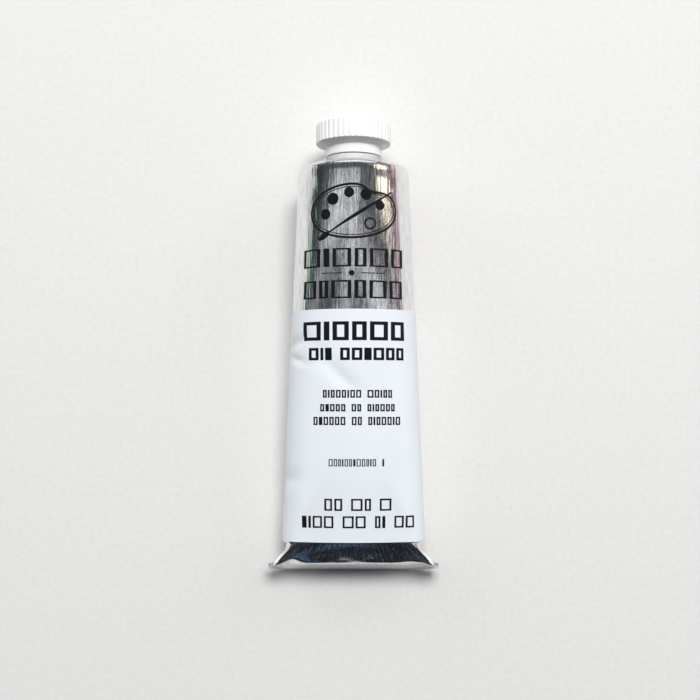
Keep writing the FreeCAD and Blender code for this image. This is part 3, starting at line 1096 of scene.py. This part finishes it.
# ======== stage, light and camera
def area_light(name, place, size, radiance, colour=(1, 1, 1), in_gloss=True, in_diffuse=True):
    """A rectangle of light at a place, facing the tube, with a given brightness of its face."""
    data = bpy.data.lights.new(name, "AREA")
    data.shape = "RECTANGLE"
    data.size, data.size_y = size
    data.energy = radiance * math.pi * size[0] * size[1]
    data.color = colour
    light = new_object(name, data)
    light.location = place
    light.rotation_mode = "QUATERNION"
    light.rotation_quaternion = light.location.to_track_quat("Z", "Y")
    light.visible_glossy = in_gloss
    light.visible_diffuse = in_diffuse


def studio_world():
    """A dim room: lighter overhead and behind the cap, dark low down behind the tail."""
    world = bpy.data.worlds.new("studio")
    bpy.context.scene.world = world
    world.use_nodes = True
    tree = world.node_tree
    way = add_node(tree, "ShaderNodeTexCoord").outputs["Generated"]
    upward = add_node(tree, "ShaderNodeVectorMath", operation="DOT_PRODUCT")
    upward.inputs[1].default_value = (0.0, 0.67, 0.74)
    tree.links.new(way, upward.inputs[0])
    stops = [(0.0, (0.012, 0.016, 0.022)), (0.3, (0.035, 0.038, 0.045)), (0.8, (0.09, 0.093, 0.105))]
    tree.links.new(graded(tree, upward.outputs["Value"], stops), tree.nodes["Background"].inputs["Color"])


def floor():
    """A pale ground that reaches past the edge of every view from above."""
    far = 6.0
    mesh = bpy.data.meshes.new("floor")
    mesh.from_pydata([(-far, -far, 0), (far, -far, 0), (far, far, 0), (-far, far, 0)], [], [(0, 1, 2, 3)])
    mesh.materials.append(pale_floor())
    new_object("floor", mesh)


# Lamps that light the surfaces but aren't mirrored: place, size, brightness, colour.
soft_lamps = {
    "key": ((0.12, 0.50, 1.02), (0.5, 0.30), 23.4, (1, 0.992, 0.975)),
    "fill": ((0.0, 0.56, 1.20), (1.6, 0.6), 1.7, (0.975, 0.985, 1.0)),
    "side_left": ((-0.8, 0.7, 0.45), (0.5, 0.5), 2.6, (0.975, 0.985, 1.0)),
    "side_right": ((0.8, 0.7, 0.45), (0.5, 0.5), 2.9, (1, 1, 1)),
}
# Lamps and windows overhead that the bare metal mirrors as streaks: angle from the zenith towards +X,
# width in degrees, brightness, and the place and length along Y.
streaks = [
    (-52, 3, 0.35, 0.00, 0.40),
    (-37, 2, 0.50, 0.02, 0.40),
    (-24, 3, 0.70, 0.02, 0.30),
    (-12, 3, 1.20, -0.06, 0.40),
    (0, 2, 0.30, -0.06, 0.30),
    (12, 2, 0.30, -0.04, 0.36),
    (24, 2, 0.50, -0.05, 0.40),
    (37, 3, 0.90, -0.04, 0.44),
    (55, 4, 0.60, -0.06, 0.40),
]
streak_far = 0.5  # how far off they stand
# Coloured things in the room that are only seen mirrored: place, size, brightness, colour.
glows = {
    "warm": ((0.34, 0.13, 0.23), (0.16, 0.14), 2.4, (1.0, 0.88, 0.68)),
    "warm_low": ((0.36, -0.07, 0.17), (0.26, 0.08), 0.5, (1.0, 0.93, 0.93)),
    "pink": ((0.70, 0.12, 0.06), (0.36, 0.09), 0.45, (1.0, 0.30, 0.50)),
    "green": ((-0.70, 0.06, 0.05), (0.10, 0.12), 0.22, (0.35, 1.0, 0.55)),
    "blue": ((-0.062, -0.75, 0.30), (0.026, 0.12), 0.60, (0.08, 0.45, 1.0)),
    "blue_low": ((0.0, -0.80, 0.03), (1.0, 0.03), 0.14, (0.30, 0.50, 1.0)),
}
# Dim upright bars behind the tail, where the slope of the tail mirrors them as fine streaks.
bar_places = np.linspace(-0.10, 0.10, 15)
bar_y, bar_z, bar_length = -0.75, 0.42, 0.36
bar_radiance = 0.45


def light_room():
    for name, lamp in soft_lamps.items():
        area_light(name, *lamp, in_gloss=False)
    area_light("behind_cap", (0.0, 0.58, 0.40), (0.9, 0.46), 1.1, in_diffuse=False)
    for number, (lean_deg, width_deg, radiance, middle_y, length) in enumerate(streaks):
        lean = math.radians(lean_deg)
        place = (streak_far * math.sin(lean), middle_y, streak_far * math.cos(lean))
        size = (streak_far * math.radians(width_deg), length)
        area_light("streak_%d" % number, place, size, radiance, (0.96, 0.97, 1.0), in_diffuse=False)
    for name, lamp in glows.items():
        area_light(name, *lamp, in_diffuse=False)
    dice = np.random.default_rng(7)
    for number, x in enumerate(bar_places):
        place = (x + dice.uniform(-0.004, 0.004), bar_y, bar_z)
        size = (dice.uniform(0.002, 0.006), bar_length)
        radiance = bar_radiance * dice.uniform(0.1, 1) ** 2
        area_light("low_bar_%d" % number, place, size, radiance, (0.9, 0.95, 1.0), in_diffuse=False)


def photo_camera():
    """Looks down at the middle of the tube, a little from the tail's end."""
    data = bpy.data.cameras.new("camera")
    data.sensor_width = 36.0
    data.lens = 54.0
    camera = new_object("camera", data)
    camera.location = (-0.8 * mm, rim_y - 51.6 * mm, 248.9 * mm)
    camera.rotation_euler = (math.radians(2.8), 0, 0)
    bpy.context.scene.camera = camera


floor()
studio_world()
light_room()
photo_camera()
bpy.context.scene.view_settings.view_transform = "Standard"
